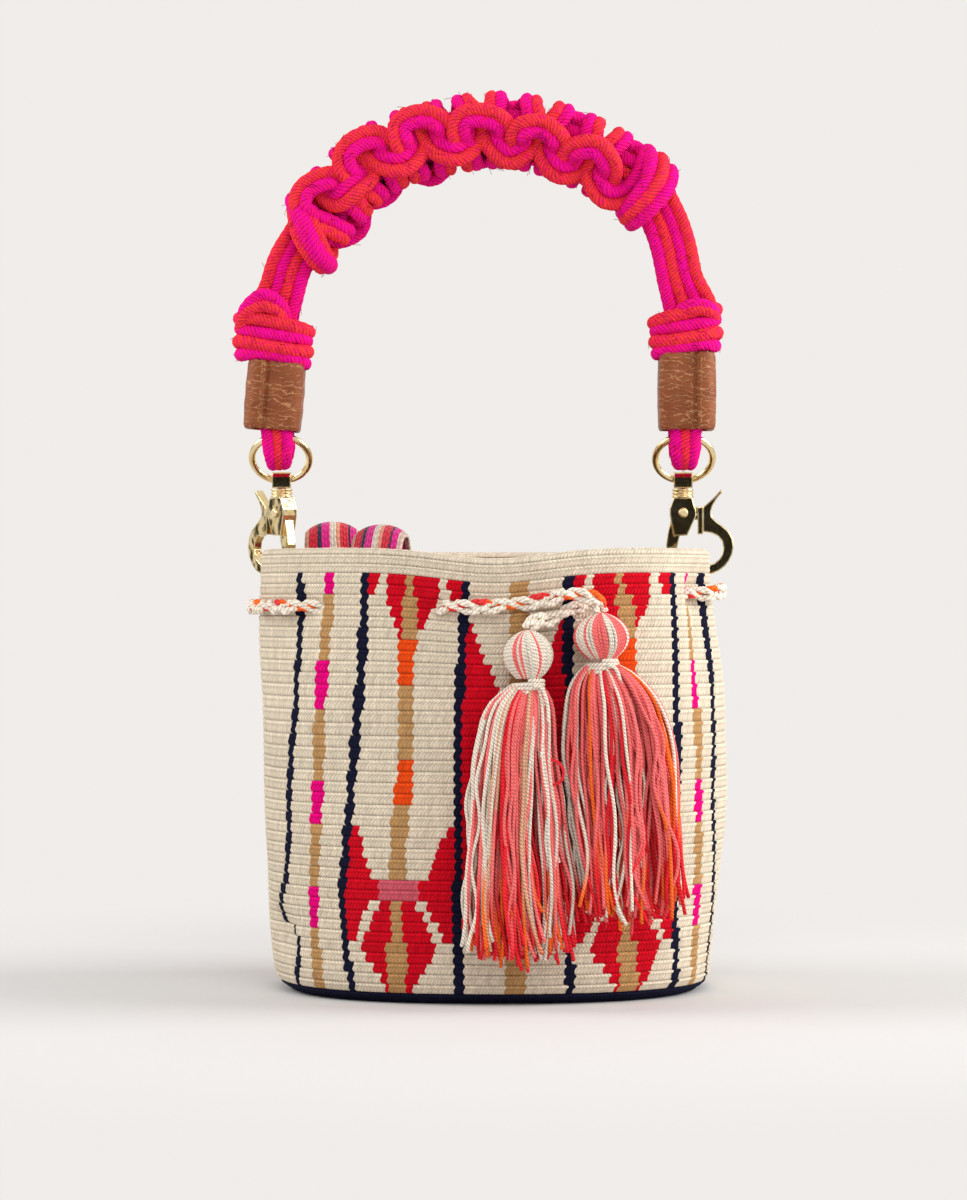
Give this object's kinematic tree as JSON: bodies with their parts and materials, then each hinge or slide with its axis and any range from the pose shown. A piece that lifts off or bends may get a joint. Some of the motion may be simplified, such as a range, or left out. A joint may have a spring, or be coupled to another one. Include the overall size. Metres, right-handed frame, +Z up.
{
  "type": "crossbody bag",
  "caption": "Crochet bucket bag with a drawstring and tassels, carried by a knotted cord handle on two snap hooks.",
  "frame": {"origin": "centre of the flat base, on the surface that the bag stands on", "axes": "+Z up, +X to the right of a viewer in front of the bag, who looks along +Y at the tassels"},
  "size_m": [0.183, 0.1746, 0.3321],
  "materials": {
    "crochet": "matt cotton crochet, cream with a traditional coloured ornament",
    "braid": "matt cotton braid, cream with red and orange",
    "tassel_yarn": "matt cotton yarn, coral, red and cream",
    "tie_yarn": "matt cotton yarn, cream",
    "strap_weave": "matt woven band, striped",
    "pink_cord": "soft twisted cord, bright pink",
    "red_cord": "soft twisted cord, orange red",
    "leather": "tan pebbled leather, satin",
    "gold_plate": "polished pale gold plate",
    "spring_wire": "plain spring wire"
  },
  "bodies": {
    "bag": {"bag_body": "crochet", "drawstring": "braid", "crossbody_strap": "strap_weave"},
    "handle": {"outer_core_cord": "pink_cord", "middle_core_cord": "red_cord", "inner_core_cord": "pink_cord", "handle_knots": "pink_cord", "right_wrap_pink": "pink_cord", "right_wrap_red": "red_cord", "left_wrap_pink": "pink_cord", "left_wrap_red": "red_cord", "right_sleeve": "leather", "left_sleeve": "leather"},
    "right_eye": {"right_eye": "gold_plate"},
    "right_snap": {"right_snap_body": "gold_plate", "right_rivet": "gold_plate", "right_spring": "spring_wire"},
    "right_trigger": {"right_trigger": "gold_plate"},
    "right_ring": {"right_ring": "gold_plate"},
    "right_tassel": {"right_tassel_yarn": "tassel_yarn", "right_tassel_tie": "tie_yarn"},
    "left_eye": {"left_eye": "gold_plate"},
    "left_snap": {"left_snap_body": "gold_plate", "left_rivet": "gold_plate", "left_spring": "spring_wire"},
    "left_trigger": {"left_trigger": "gold_plate"},
    "left_ring": {"left_ring": "gold_plate"},
    "left_tassel": {"left_tassel_yarn": "tassel_yarn", "left_tassel_tie": "tie_yarn"}
  },
  "joints": [
    {"name": "right_snap_rock", "type": "hinge", "parent": "bag", "child": "right_eye", "pos_m": [0.071, 0, 0.1556], "axis": [1, 0, 0], "range_deg": [-5, 5]},
    {"name": "left_snap_rock", "type": "hinge", "parent": "bag", "child": "left_eye", "pos_m": [-0.0794, 0, 0.1556], "axis": [1, 0, 0], "range_deg": [-5, 5]},
    {"name": "right_swivel", "type": "hinge", "parent": "right_eye", "child": "right_snap", "pos_m": [0.071, 0, 0.184], "axis": [0, 0, 1], "range_deg": [-4, 4]},
    {"name": "left_swivel", "type": "hinge", "parent": "left_eye", "child": "left_snap", "pos_m": [-0.0794, 0, 0.184], "axis": [0, 0, 1], "range_deg": [-4, 4]},
    {"name": "right_trigger_turn", "type": "hinge", "parent": "right_snap", "child": "right_trigger", "pos_m": [0.071, 0, 0.177], "axis": [0, -1, 0], "range_deg": [0, 18], "stiffness_Nm_per_rad": 0.03, "springref_deg": -11.46, "deforming": ["right_spring"]},
    {"name": "left_trigger_turn", "type": "hinge", "parent": "left_snap", "child": "left_trigger", "pos_m": [-0.0794, 0, 0.177], "axis": [0.766, 0.6428, 0], "range_deg": [0, 18], "stiffness_Nm_per_rad": 0.03, "springref_deg": -11.46, "deforming": ["left_spring"]},
    {"name": "right_ring_tilt", "type": "hinge", "parent": "right_eye", "child": "right_ring", "pos_m": [0.071, 0, 0.1892], "axis": [1, 0, 0], "range_deg": [-80, 25]},
    {"name": "left_ring_tilt", "type": "hinge", "parent": "left_eye", "child": "left_ring", "pos_m": [-0.0794, 0, 0.1892], "axis": [1, 0, 0], "range_deg": [-80, 25]},
    {"name": "handle_swing", "type": "hinge", "parent": "right_ring", "child": "handle", "pos_m": [0.071, -0.01432, 0.2051], "axis": [1, 0, 0], "range_deg": [-15, 60]},
    {"name": "left_tassel_swing", "type": "hinge", "parent": "bag", "child": "left_tassel", "pos_m": [0.012, -0.0838, 0.1346], "axis": [-1, 0, 0], "range_deg": [0, 70], "deforming": ["drawstring"]},
    {"name": "right_tassel_swing", "type": "hinge", "parent": "bag", "child": "right_tassel", "pos_m": [0.038, -0.0802, 0.1406], "axis": [-1, 0, 0], "range_deg": [0, 70], "deforming": ["drawstring"]}
  ],
  "couplings": [
    {"joint": "left_snap_rock", "follows": "right_snap_rock", "ratio": 1},
    {"joint": "left_ring_tilt", "follows": "right_ring_tilt", "ratio": 1}
  ]
}
